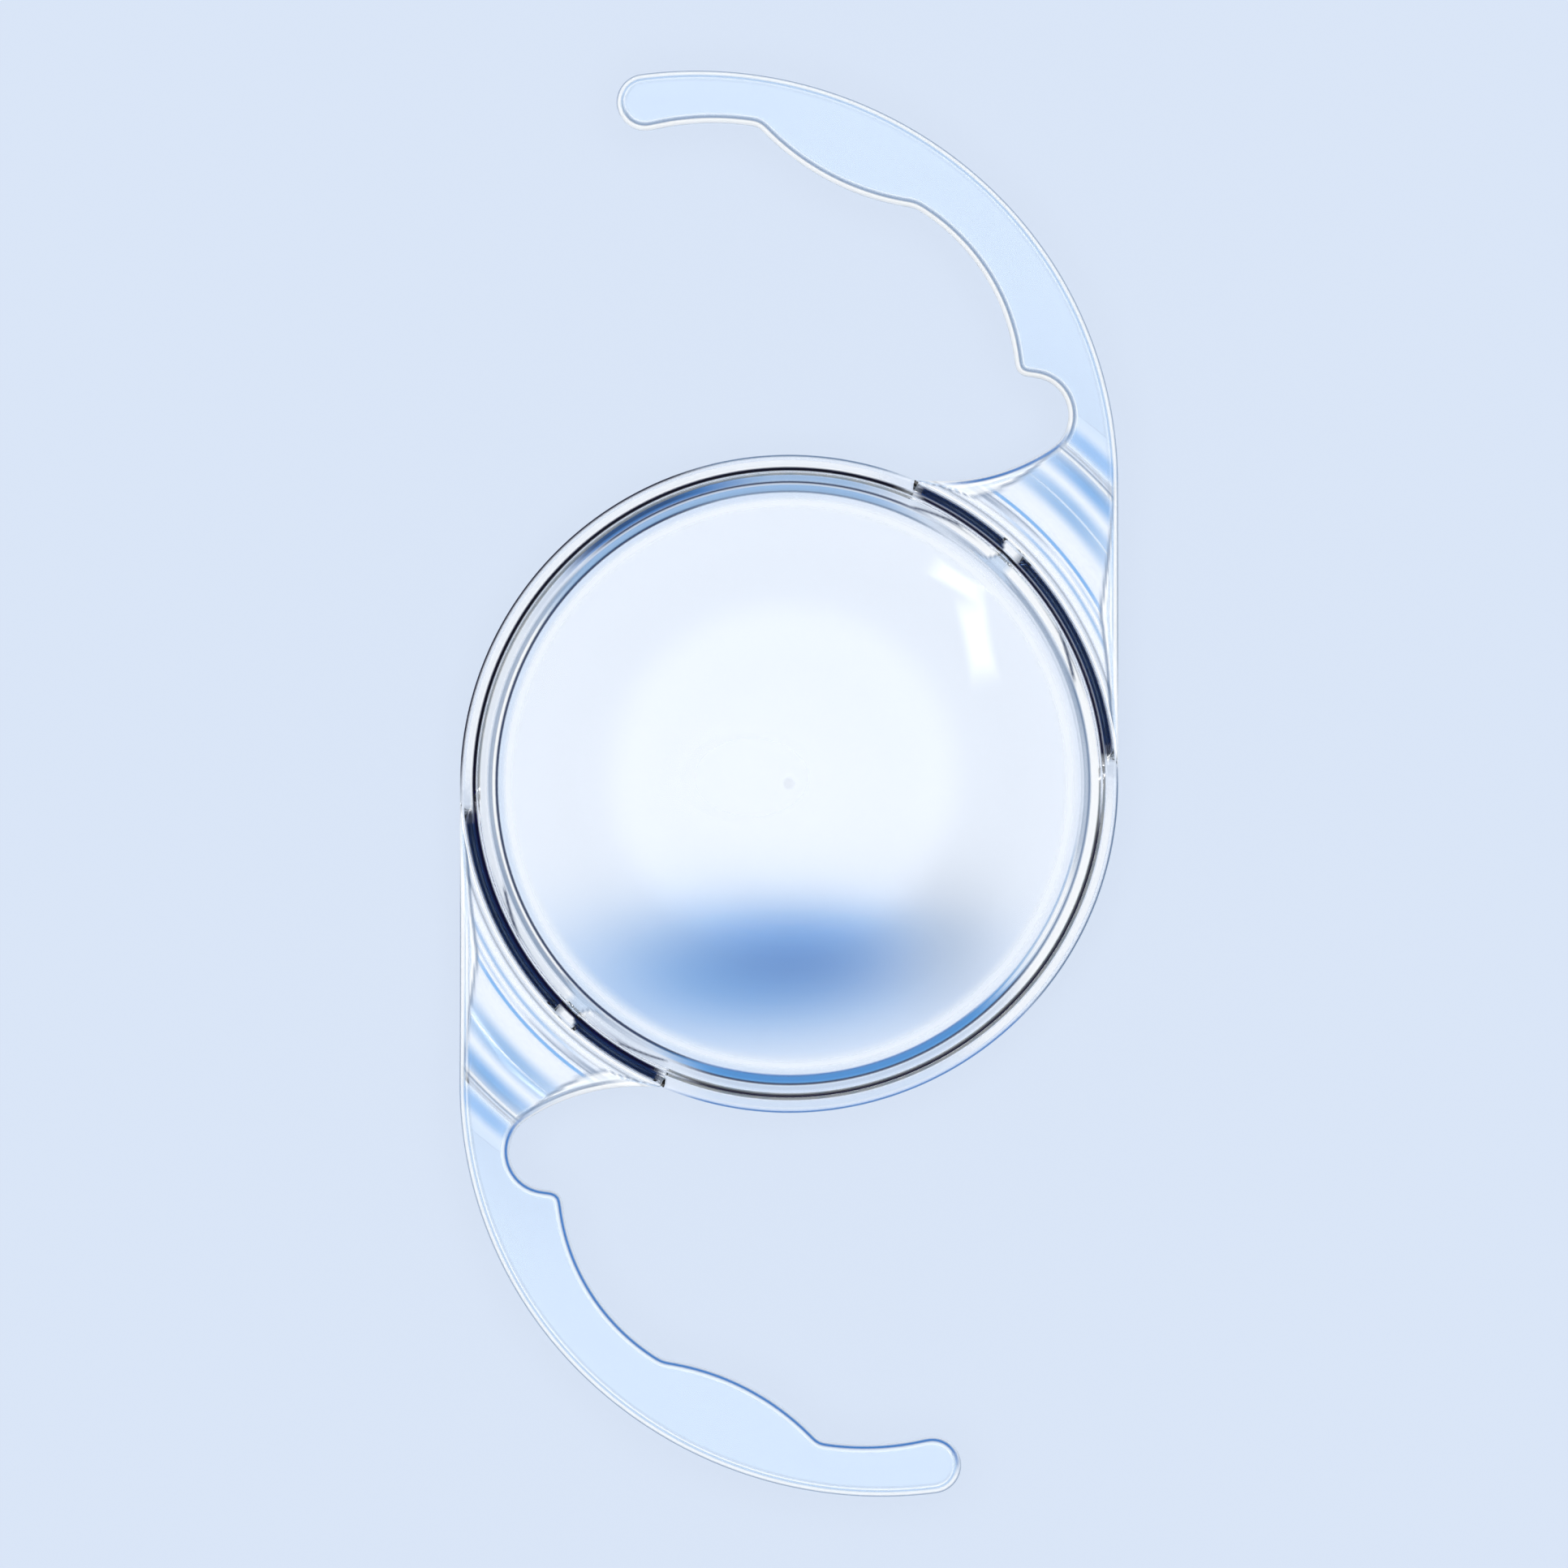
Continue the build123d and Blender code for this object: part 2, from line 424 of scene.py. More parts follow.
# Matching points of the outer and the inner side, and how many rows lead up to them
key_points = [
    (root_centre + root_arc_radius * unit(notch_row_angle), notch_corner, 26),
    (across_from(paddle_end), paddle_end, 50),
    (across_from(arm_end), arm_end, 46),
    (tip_centre + tip_radius * unit(end_angle), arm_start, 32),
]
outer_places, inner_places = [root_outer], [root_inner]
outer_from, inner_from = root_outer[-1], root_inner[-1]
for outer_point, inner_point, count in key_points:
    outer_to = nearest_place(outer_side, outer_point)
    inner_to = nearest_place(inner_side, inner_point)
    share = np.linspace(0, 1, count + 1)[1:]
    outer_places.append(outer_from + (outer_to - outer_from) * share)
    inner_places.append(inner_from + (inner_to - inner_from) * share)
    outer_from, inner_from = outer_to, inner_to
tip_share = np.linspace(0, tip_last_angle, tip_rows + 1)[1:] / 90
outer_places.append(outer_from + (len(outer_side) - 1 - outer_from) * tip_share)
inner_places.append(inner_from + (len(inner_side) - 1 - inner_from) * tip_share)
row_starts = at(outer_side, np.concatenate(outer_places))
row_ends = at(inner_side, np.concatenate(inner_places))
print("rows across a haptic:", len(row_starts))

# %% [markdown]
# ## Columns along a haptic
#
# In each row the columns crowd towards both ends, where the rounded edge needs them, and
# round the tab. A Subdivision Surface would add points everywhere instead. Every row first
# gets evenly spaced trial points, their distances from the two sides are measured, and the
# edge's columns are put where those distances reach the steps that the round asks for.

# %% Points along the rows
fade_rows = 14
last_root_row = len(root_reaches) - 1
fade_ends = [last_root_row, last_root_row + fade_rows + 1]
bend = np.interp(np.arange(len(row_starts)), fade_ends, [1, 0])


def between(first, last, share):
    """Mean of two values, weighted by the share of the way from the first to the last."""
    return first * (1 - share) + last * share


def row_points(share):
    """Points along every row: on a circle round the axis in the root, straight beyond it."""
    starts, ends = row_starts[:, None], row_ends[:, None]
    straight = between(starts, ends, share[..., None])
    reach = between(np.linalg.norm(starts, axis=-1), np.linalg.norm(ends, axis=-1), share)
    turns = [np.degrees(np.arctan2(side[..., 1], side[..., 0])) for side in (starts, ends)]
    circle = reach[..., None] * unit(between(*turns, share))
    return straight + bend[:, None, None] * (circle - straight)


print("rows that bend round the axis:", int((bend > 0).sum()))

# %% Columns
edge_round, edge_margin = 0.08, 1.02
edge_columns, middle_columns = 8, 34
# The columns of one edge take no more than this share of their row
edge_share_limit = 0.42
side_crowding, side_crowd_reach = 1.0, 0.12
tab_crowding, tab_crowd_reach = 3.5, 0.035


def crowded_shares(count):
    """Places from 0 to 1 that lie closer where a density is higher: its sum, inverted."""
    place = np.linspace(0, 1, 800)
    sides = bell(place, 0, side_crowd_reach) + bell(place, 1, side_crowd_reach)
    tab = bell(place, tab_angle / root_end_angle, tab_crowd_reach)
    total = np.cumsum(1 + side_crowding * sides + tab_crowding * tab)
    total = (total - total[0]) / (total[-1] - total[0])
    return np.interp(np.linspace(0, 1, count + 1)[1:-1], total, place)


def quarter_steps(count):
    """Steps from 0 to 1, fine at first: 1 less the cosine of even steps of a quarter turn."""
    return 1 - np.cos(np.linspace(0, np.pi / 2, count))


fine = np.linspace(0, 1, 72)
half_fine = fine[: len(fine) // 2]
edge_steps = edge_round * edge_margin * quarter_steps(edge_columns + 1)
edge_limits = np.linspace(0, edge_share_limit, edge_columns + 1)


def edge_shares(distance):
    """Shares of one row at which the distance from its side has risen to the edge's steps."""
    rise = np.maximum.accumulate(distance[: len(half_fine)])
    return np.minimum(np.interp(edge_steps, rise, half_fine), edge_limits)


trial = row_points(np.tile(fine, (len(row_starts), 1)))
trial_distances = [distance_to(side, trial)[0] for side in (outer_side, inner_side)]
crowded = crowded_shares(middle_columns)
shares = []
for from_start, from_end in zip(*trial_distances):
    near_outer, near_inner = edge_shares(from_start), edge_shares(from_end[::-1])
    middle = near_outer[-1] + (1 - near_inner[-1] - near_outer[-1]) * crowded
    shares.append(np.concatenate([near_outer, middle, 1 - near_inner[::-1]]))
haptic_plan = row_points(np.array(shares))
print("haptic grid:", haptic_plan.shape[:2])

# %% [markdown]
# ## The optic's grid
#
# The optic is a polar grid. Its spokes meet the haptic's first row point for point, so the
# two grids share that line and no seam shows. Joining two separate shapes with a Boolean
# would leave a seam there. The rings crowd where the rim has its steps and its thin lines.

# %% Spokes and rings
free_spoke_count = 75
rim_edge_round, rim_edge_count = 0.02, 5
root_spokes = np.degrees(np.arctan2(haptic_plan[0, :, 1], haptic_plan[0, :, 0]))
free_spokes = np.linspace(root_end_angle, 180, free_spoke_count + 1)[1:]
spokes = np.concatenate([root_spokes, free_spokes, 180 + root_spokes[1:], 180 + free_spokes])
rim_edge_steps = optic_radius - rim_edge_round * quarter_steps(rim_edge_count)[::-1]
front_rings = np.unique(np.concatenate([
    np.linspace(0, 0.08, 5),
    np.linspace(0.10, 0.60, 11),
    np.linspace(0.70, 2.40, 18),
    np.arange(2.43, 2.61, 0.03),
    around(front_dome_reach, foot_outer, band_outer),
    np.arange(2.62, optic_radius - 0.03, 0.0075),
    rim_edge_steps,
]).round(5))
back_rings = np.unique(np.concatenate([
    np.linspace(0, 2.72, 24),
    around(rest_spot_radius, back_dome_reach, lip_slope_inner, lip_inner),
    around(undercut_inner, undercut_outer),
    rim_edge_steps,
]).round(5))


def polar_plan(rings):
    """Plan of a polar grid: every ring's radius along every spoke."""
    return rings[:, None, None] * unit(spokes)


print("spokes:", len(spokes), "front rings:", len(front_rings), "back rings:", len(back_rings))

# %% [markdown]
# ## Surfaces
#
# A surface is a plan with a height for each point. The rounded edge takes a quarter circle
# off the height, by the distance from the outline. Its radius grows from the crisp rim of
# the optic to the softer edge of the haptics, which a Bevel modifier of one width can't do.

# %% Heights with the rounded edge
edge_growth = 0.35


def edge_fall(distance, radius):
    """Fall of a rounded edge: the radius less the height of a quarter circle over it."""
    inset = np.clip(radius - distance, 0, radius)
    return radius - np.sqrt(np.maximum(radius**2 - inset**2, 0))


def edge_radius(reach, at_rim):
    """Radius of the edge: small on the rim, growing along the root to that of the haptic."""
    growth = smooth_step(reach, optic_radius, optic_radius + edge_growth)
    return at_rim + (edge_round - at_rim) * growth


def half_angle(plan):
    """Angle round the axis in degrees, from 0 to 180, the same on both halves of the lens."""
    return np.degrees(np.arctan2(plan[..., 1], plan[..., 0])) % 180


def front_surface(plan, distance):
    """Front face of the plan: the turned height less the fall of the rounded edge."""
    reach = np.linalg.norm(plan, axis=-1)
    height = front_height(reach) - edge_fall(distance, edge_radius(reach, rim_edge_round))
    return np.dstack([plan, height])


def back_surface(plan, distance):
    """Back face of the plan: the turned height plus the fall of an edge half as round."""
    reach = np.linalg.norm(plan, axis=-1)
    fall = edge_fall(distance, edge_radius(reach, rim_edge_round / 2))
    return np.dstack([plan, back_height(reach, half_angle(plan)) + fall])


print("a rounded edge falls by", edge_fall(np.array(0.0), edge_round), "mm in all")

# %% Both faces of a haptic
from_outer, outer_place = distance_to(outer_side, haptic_plan)
from_inner, inner_place = distance_to(inner_side, haptic_plan)
from_outer[:, 0] = 0
from_inner[:, -1] = 0
haptic_distance = np.minimum(from_outer, from_inner)
haptic_front = front_surface(haptic_plan, haptic_distance)
haptic_back = back_surface(haptic_plan, haptic_distance)
print("points on a haptic's front:", haptic_distance.size)

# %% Both faces of the optic
# Tolerances in mm and in degrees, for points that lie on the line between two halves
hair, hair_angle = 1e-9, 1e-6
root_zone_reach = 2.8
half_spokes = len(root_spokes) + len(free_spokes) - 1
free_rim = turning_arc((0, 0), optic_radius, root_end_angle, 180)
outline = (outer_side, inner_side, free_rim, -free_rim)


def optic_distance(plan):
    """Distance to the outline on the optic: to the free rim, or to all the lines by a root.

    The last ring takes the distances of the haptic's first row, so that the grids meet.
    """
    reach = np.linalg.norm(plan, axis=-1)
    distance = optic_radius - reach
    in_root = (half_angle(plan) < root_end_angle + hair_angle) & (reach > root_zone_reach)
    x, y = plan[..., :1], plan[..., 1:]
    lower_half = (y < -hair) | ((x < 0) & (np.abs(y) < hair))
    folded = np.where(lower_half, -plan, plan)[in_root]
    distance[in_root] = np.min([distance_to(line, folded)[0] for line in outline], axis=0)
    distance[-1] = 0
    distance[-1, : len(root_spokes)] = haptic_distance[0]
    distance[-1, half_spokes + 1 : half_spokes + len(root_spokes)] = haptic_distance[0, 1:]
    return distance


front_plan, back_plan = polar_plan(front_rings), polar_plan(back_rings)
optic_front = front_surface(front_plan, optic_distance(front_plan))
optic_back = back_surface(back_plan, optic_distance(back_plan))
print("points on the optic's front:", optic_front[..., 0].size)


# %% Walls
def wall(front_line, back_line, levels=4):
    """Upright wall between the faces: straight lines from the front edge to the back edge."""
    share = np.linspace(0, 1, levels)[:, None, None]
    return between(front_line[None], back_line[None], share)


free_columns = slice(len(root_spokes) - 1, half_spokes + 1)
half_walls = [
    wall(haptic_front[:, 0], haptic_back[:, 0]),
    wall(haptic_front[:, -1], haptic_back[:, -1]),
    wall(haptic_front[-1], haptic_back[-1]),
    wall(optic_front[-1, free_columns], optic_back[-1, free_columns]),
]
print("walls on each half:", len(half_walls))

# %% [markdown]
# ## Painted light on the edges
#
# A clear acrylic edge is never quite clear. Light that runs along inside the lens comes out
# at the steps and rounded edges, so they show as thin lines, some white and some blue or
# nearly black, and the flat and domed faces between them stay clear. Refraction gives some
# of this, but a render would need very many light paths to find the rest. So these lines are
# painted as highlights, reflections and shade, which keep the same look under any light.
# Each point of the mesh carries the share of red, green and blue light that it lets through,
# and a clarity, which is 1 for clear acrylic and less where a painted white highlight lies.

# %% Colours of the painted light
# White is for painted highlights; blues, navy and near-black for painted reflections and shade
painted_colours = {
    "clear": (1.00, 1.00, 1.00, 1.00),
    "milky": (1.00, 1.00, 1.00, 0.00),
    "pale blue": (0.79, 0.88, 0.97, 1.00),
    "sky blue": (0.34, 0.56, 0.80, 1.00),
    "azure": (0.20, 0.50, 0.85, 1.00),
    "deep blue": (0.06, 0.25, 0.58, 1.00),
    "steel": (0.22, 0.30, 0.41, 1.00),
    "grey": (0.44, 0.45, 0.47, 1.00),
    "navy": (0.01, 0.03, 0.10, 1.00),
    "ink": (0.00, 0.00, 0.03, 1.00),
}
# Blur of a line's sides in mm, and the width from which a line is a soft stripe
sharp, soft, soft_stripe_width = 0.007, 0.05, 0.09


def even(sheet, painted_colour):
    """One painted colour all over a sheet."""
    return np.broadcast_to(np.array(painted_colours[painted_colour]), (*sheet.shape[:2], 4))


def painted(tint_and_painted_light, painted_colour, mask):
    """The painted light with one colour laid over it: what was there plus the mask's share of it.
    """
    return tint_and_painted_light + (np.array(painted_colours[painted_colour]) - tint_and_painted_light) * mask[..., None]


def band(value, centre, width, blur=sharp):
    """1 within half the width of the centre, and 0 outside it, with a smooth edge."""
    return 1 - smooth_step(np.abs(value - centre) - width / 2, -blur, blur)


def arc(angle, start, end, fade):
    """1 between two angles in degrees, anticlockwise, fading to 0 inside both ends."""
    span = (end - start) % 360 or 360
    off = np.abs((angle - start - span / 2 + 180) % 360 - 180) - span / 2
    return 1 - smooth_step(off, -fade, 0) if span < 360 else np.ones_like(angle)


def polar(plan):
    """Distance from the axis in mm and angle round it in degrees, from 0 to 360."""
    angle = np.degrees(np.arctan2(plan[..., 1], plan[..., 0])) % 360
    return np.linalg.norm(plan, axis=-1), angle


print("tints:", ", ".join(painted_colours))

# %% [markdown]
# ## Painted lines round the rim and across the roots
#
# The lathe's steps bend light into thin rings on the real lens, and the undercut below each
# root into one dark band that the tab breaks. Here they are painted highlights, painted
# reflections and painted shade. A ring keeps its distance from the axis but changes on its
# way round, dark on one side and bright on the other. The rings could be painted on an
# image, but as rows of a table they stay sharp at any size and easy to change. Each row
# holds the line's distance from the axis, its width, colour and strength, then the arc that
# it covers and how far it fades in at both ends.

# %% Lines round the rim
rim_lines = [
    (2.570, 0.100, "milky", 0.30, 0, 360, 0),
    (2.645, 0.060, "pale blue", 0.60, 60, 300, 40),
    (2.668, 0.020, "steel", 0.90, 55, 120, 12),
    (2.668, 0.026, "navy", 1.00, 100, 262, 16),
    (2.668, 0.034, "deep blue", 0.90, 246, 318, 14),
    (2.668, 0.018, "sky blue", 0.60, 300, 352, 12),
    (2.693, 0.032, "milky", 0.90, 135, 232, 18),
    (2.702, 0.054, "sky blue", 0.80, 58, 150, 18),
    (2.700, 0.060, "azure", 1.00, 238, 330, 18),
    (2.692, 0.050, "deep blue", 0.40, 244, 322, 18),
    (2.700, 0.036, "milky", 0.70, 308, 352, 12),
    (2.725, 0.036, "steel", 0.55, 128, 236, 14),
    (2.710, 0.040, "steel", 0.45, 338, 58, 14),
    (2.752, 0.022, "navy", 0.95, 60, 134, 10),
    (2.738, 0.022, "navy", 0.95, 244, 330, 12),
    (2.738, 0.020, "steel", 0.90, 314, 28, 12),
    (2.790, 0.055, "sky blue", 0.70, 66, 112, 14),
    (2.792, 0.058, "deep blue", 0.95, 92, 142, 16),
    (2.800, 0.036, "navy", 0.70, 104, 138, 10),
    (2.788, 0.070, "milky", 0.35, 142, 236, 12),
    (2.785, 0.060, "pale blue", 0.60, 246, 312, 14),
    (2.790, 0.070, "milky", 0.80, 312, 66, 12),
    (2.835, 0.012, "grey", 0.75, 100, 190, 14),
    (2.848, 0.032, "ink", 1.00, 245, 360, 10),
    (2.872, 0.038, "ink", 1.00, 65, 188, 6),
    (2.894, 0.014, "milky", 0.80, 68, 190, 10),
    (2.925, 0.050, "milky", 0.45, 68, 185, 10),
    (2.925, 0.060, "milky", 0.55, 300, 3, 10),
    (2.925, 0.060, "pale blue", 0.50, 248, 304, 10),
    (2.972, 0.012, "sky blue", 0.60, 246, 318, 12),
    (2.991, 0.022, "steel", 0.95, 66, 112, 10),
    (2.990, 0.024, "ink", 1.00, 100, 186, 12),
    (2.991, 0.022, "deep blue", 0.90, 246, 322, 10),
    (2.992, 0.020, "steel", 1.00, 312, 8, 10),
    (2.880, 0.040, "ink", 1.00, 184, 247, 3),
]
print("lines round the rim:", len(rim_lines))

# %% Lines across a root
# The angles are those on one half of the lens, and count again half a turn further on
root_lines = [
    (2.720, 0.040, "steel", 0.40, 5, 66, 14),
    (2.803, 0.014, "grey", 0.55, 50, 66, 8),
    (2.815, 0.012, "grey", 0.50, 14, 40, 10),
    (2.870, 0.032, "ink", 1.00, 2, 67.4, 3),
    (2.928, 0.078, "navy", 1.00, 4, 67.4, 2),
    (2.924, 0.010, "steel", 0.60, 4, 67, 10),
    (3.000, 0.022, "milky", 0.90, 3, 67, 3),
    (3.038, 0.014, "grey", 0.85, 8, 67, 8),
    (3.050, 0.024, "ink", 0.95, 13.5, 18.5, 2.0),
    (3.050, 0.024, "ink", 0.95, 61.8, 64.8, 1.0),
    (3.082, 0.040, "milky", 0.35, 12, 66, 8),
    (3.112, 0.012, "grey", 0.60, 40, 66, 14),
    (3.136, 0.024, "sky blue", 0.90, 14, 56, 14),
    (3.168, 0.030, "steel", 0.80, 46, 66, 10),
    (3.172, 0.020, "milky", 0.50, 14, 46, 10),
    (3.198, 0.022, "steel", 0.90, 38, 64, 10),
    (3.200, 0.018, "sky blue", 0.60, 14, 42, 10),
    (3.226, 0.014, "milky", 0.70, 16, 64, 8),
    (3.252, 0.034, "azure", 1.00, 24, 62, 10),
    (3.345, 0.110, "milky", 0.22, 22, 62, 14),
    (3.570, 0.190, "sky blue", 0.95, 22, 66, 22),
    (3.580, 0.012, "milky", 0.80, 28, 56, 10),
    (3.715, 0.070, "milky", 0.12, 26, 60, 14),
    (3.825, 0.120, "azure", 0.80, 26, 62, 18),
    (3.918, 0.022, "milky", 0.80, 38, 56, 5),
    (3.942, 0.014, "steel", 0.80, 38, 56, 4),
    (3.972, 0.020, "grey", 0.60, 39, 56, 8),
    (4.004, 0.020, "milky", 0.80, 40, 56, 5),
    (4.085, 0.130, "azure", 0.75, 34, 60, 12),
]
# Lines that lean: the angle and the distance at both ends, then width, tint and strength
leaning_lines = [
    ((19, 2.755), (30, 2.835), 0.024, "navy", 0.90),
    ((55, 2.838), (67, 2.755), 0.020, "navy", 0.90),
]
lean_fade = 2
print("lines across a root:", len(root_lines) + len(leaning_lines))

# %% Tab and ripple
# The tab is a painted bright break in the painted dark band, blurred at its sides by this
# much, with a painted glint. Inside it the real lens shows a bell-shaped ripple, whose light
# is painted as a pale fill and lines: half its width by the distance from the axis, then lines
# at some distance outside its border, with their width, colour and strength
tab_side_blur = 0.012
tab_glint_reach, tab_glint_width, tab_glint_strength = 2.930, 0.060, 0.6
ripple_reaches = (2.690, 2.740, 2.800, 2.862)
ripple_widths = (0.240, 0.110, 0.070, 0.040)
ripple_fill, ripple_blur = 0.7, 0.010
ripple_lines = [(0.000, 0.020, "steel", 0.6), (0.035, 0.024, "milky", 0.5)]


def off_tab(reach, angle):
    """Distance along a circle from the middle of the tab: the angle between times the reach."""
    return np.abs(np.radians(angle % 180 - tab_angle)) * reach


def beside_tab(reach, angle):
    """1 beside the tab and 0 on it, with its sides leaning out from the lip to the haptic."""
    widths = [tab_half_width, tab_half_width + tab_flare]
    side = np.interp(reach, [undercut_inner, undercut_outer], widths)
    return smooth_step(off_tab(reach, angle) - side, -tab_side_blur, tab_side_blur)


def rippled(tint_and_painted_light, reach, angle):
    """The painted light with the ripple's pale fill laid over it, and then its lines."""
    inner, outer = ripple_reaches[0], ripple_reaches[-1]
    here = band(reach, (inner + outer) / 2, outer - inner)
    border = np.interp(reach, ripple_reaches, ripple_widths)
    off = off_tab(reach, angle)
    inside = 1 - smooth_step(off - border, -ripple_blur, ripple_blur)
    tint_and_painted_light = painted(tint_and_painted_light, "pale blue", ripple_fill * here * inside)
    for outside, width, painted_colour, strength in ripple_lines:
        mask = strength * here * band(off, border + outside, width, ripple_blur)
        tint_and_painted_light = painted(tint_and_painted_light, painted_colour, mask)
    return tint_and_painted_light


print("ripple from", ripple_reaches[0], "to", ripple_reaches[-1], "mm from the axis")


# %% Laying the lines
def stripe(reach, angle, centre, width, start, end, fade):
    """Mask of one turned line: the band across it times the arc that it covers."""
    blur = soft if width > soft_stripe_width else sharp
    return band(reach, centre, width, blur) * arc(angle, start, end, fade)


def lined(tint_and_painted_light, plan):
    """The painted light with the lines of the rim and the roots laid over it, one by one."""
    reach, angle = polar(plan)
    past_tab = beside_tab(reach, angle)
    for centre, width, painted_colour, strength, *span in rim_lines:
        tint_and_painted_light = painted(tint_and_painted_light, painted_colour, strength * stripe(reach, angle, centre, width, *span))
    for centre, width, painted_colour, strength, *span in root_lines:
        mask = strength * stripe(reach, angle % 180, centre, width, *span)
        below_root = lip_inner < centre < optic_radius - sharp
        tint_and_painted_light = painted(tint_and_painted_light, painted_colour, mask * past_tab if below_root else mask)
    for (start, near), (end, far), width, painted_colour, strength in leaning_lines:
        centre = np.interp(angle % 180, [start, end], [near, far])
        span = arc(angle % 180, start, end, lean_fade)
        tint_and_painted_light = painted(tint_and_painted_light, painted_colour, strength * band(reach, centre, width) * span)
    glint = tab_glint_strength * band(reach, tab_glint_reach, tab_glint_width)
    return rippled(painted(tint_and_painted_light, "milky", glint * (1 - past_tab)), reach, angle)


# %% [markdown]
# ## Bands along the edges of a haptic
#
# The rounded edges gather light into thin bands that run along the haptic, painted here as
# highlights and shade. They change with the way that the edge faces: white where it looks
# away from the window, and dark blue on the inner side where it looks towards it. A band
# keeps its distance from the outline, which every point already knows, so no texture has to
# be unwrapped. Each row holds the distance in from the edge, the width and the colour, then
# the strength where the edge faces away from the window (down and left) and towards it (up
# and right).

# %% Bands along the edges
inner_bands = [
    (0.022, 0.050, "milky", 1.00, 0.00),
    (0.058, 0.020, "steel", 0.95, 0.00),
    (0.082, 0.014, "milky", 0.45, 0.00),
    (0.006, 0.020, "milky", 0.00, 0.85),
    (0.032, 0.030, "deep blue", 0.00, 1.00),
    (0.058, 0.020, "milky", 0.00, 0.75),
]
outer_bands = [
    (0.003, 0.012, "steel", 0.90, 0.90),
    (0.025, 0.028, "milky", 1.00, 1.00),
    (0.051, 0.020, "sky blue", 0.30, 0.40),
    (0.068, 0.018, "milky", 0.70, 0.25),
    (0.085, 0.018, "steel", 0.22, 0.12),
]
window_way = unit(45)
away_until, towards_from = 0.2, 0.8


def towards_window(line, place, side):
    """Share by which an edge faces the window: half of 1 plus the cosine between the two."""
    outward = line_normals(line)[place] * side
    return 0.5 + 0.5 * outward @ window_way


def edged(tint_and_painted_light, distance, facing, bands):
    """The painted light with bands along one edge laid over it, each as strong as its facing
    asks.
    """
    for centre, width, painted_colour, away, towards in bands:
        strength = between(away, towards, smooth_step(facing, away_until, towards_from))
        tint_and_painted_light = painted(tint_and_painted_light, painted_colour, strength * band(distance, centre, width))
    return tint_and_painted_light


print("bands on the inner side:", len(inner_bands), "and on the outer side:", len(outer_bands))

# %% [markdown]
# ## Facets beside the root
#
# Along the straight side and beside the notch, the root ends in a narrow facet that shows
# bright, with a dark line on its inner border. It is too shallow to change the outline, and
# cut into the mesh it would need rows of its own, so its highlight and dark line are painted
# on. Its width comes from a short table: by the height y along the straight side, and by the
# distance from the axis on the other side.

# %% Facets
facet_heights = (0.30, 0.70, 1.08, 1.57, 2.00, 2.75)
facet_height_widths = (0.03, 0.07, 0.10, 0.16, 0.10, 0.02)
facet_reaches = (3.02, 3.10, 3.30, 3.60, 3.95)
facet_reach_widths = (0.02, 0.16, 0.15, 0.09, 0.02)
facet_strength, facet_fade, facet_line_blur = 0.8, 0.012, 0.010
# Lines of a facet: where across its width, then width in mm, tint and strength
facet_lines = [(1.0, 0.024, "steel", 0.9), (0.6, 0.020, "pale blue", 0.9)]


def faceted(tint_and_painted_light, plan, from_outer, from_inner):
    """The painted light with a facet's highlight laid along both sides of the root, and its
    lines.
    """
    reach, height = np.linalg.norm(plan, axis=-1), np.abs(plan[..., 1])
    for distance, place, places, widths in (
        (from_outer, height, facet_heights, facet_height_widths),
        (from_inner, reach, facet_reaches, facet_reach_widths),
    ):
        here, across = place < places[-1], np.interp(place, places, widths)
        inside = 1 - smooth_step(distance, across - facet_fade, across)
        tint_and_painted_light = painted(tint_and_painted_light, "milky", facet_strength * here * inside)
        for part, width, painted_colour, strength in facet_lines:
            mask = strength * here * band(distance, across * part, width, facet_line_blur)
            tint_and_painted_light = painted(tint_and_painted_light, painted_colour, mask)
    return tint_and_painted_light


print("facet up to", max(facet_height_widths), "mm wide")

# %% [markdown]
# ## Painted colour and light of every sheet
#
# The front carries the painted lines and bands, because it is looked through to see all the
# rest. The back stays clear, and the walls are painted pale blue for the light that runs along
# inside. The plates of the haptics look faintly blue on the real lens, so they are tinted a
# little, and a small share of painted white brightens them. The optic has soft patches of
# painted light: a white sheen over the dome, a small highlight at its centre, and blue and
# grey low down for the surroundings seen through it. Each is a bell shape with a place, a
# width and a height in mm, a colour and a strength. A noise texture makes soft patches too,
# but it can't be told where to put them.

# %% Painted colour and light of a haptic
# A pale blue tint on the plates, and a small share of painted white that brightens them
plate_tint, plate_painted_white = 0.95, 0.06
plate_fade, band_fade = 0.3, 0.3
tip_blend_angle = 45.0


def inner_share(nearer_outer):
    """Share of the inner side's bands: 0 or 1 by the nearer side, a smooth turn at the tip."""
    from_tip = haptic_plan - tip_centre
    outwards = from_tip @ unit(tip_middle_angle)
    round_tip = np.degrees(np.arctan2(from_tip @ unit(tip_middle_angle + 90), outwards))
    turning = smooth_step(round_tip, -tip_blend_angle, tip_blend_angle)
    return np.where(outwards > 0, turning, np.where(nearer_outer, 0.0, 1.0))


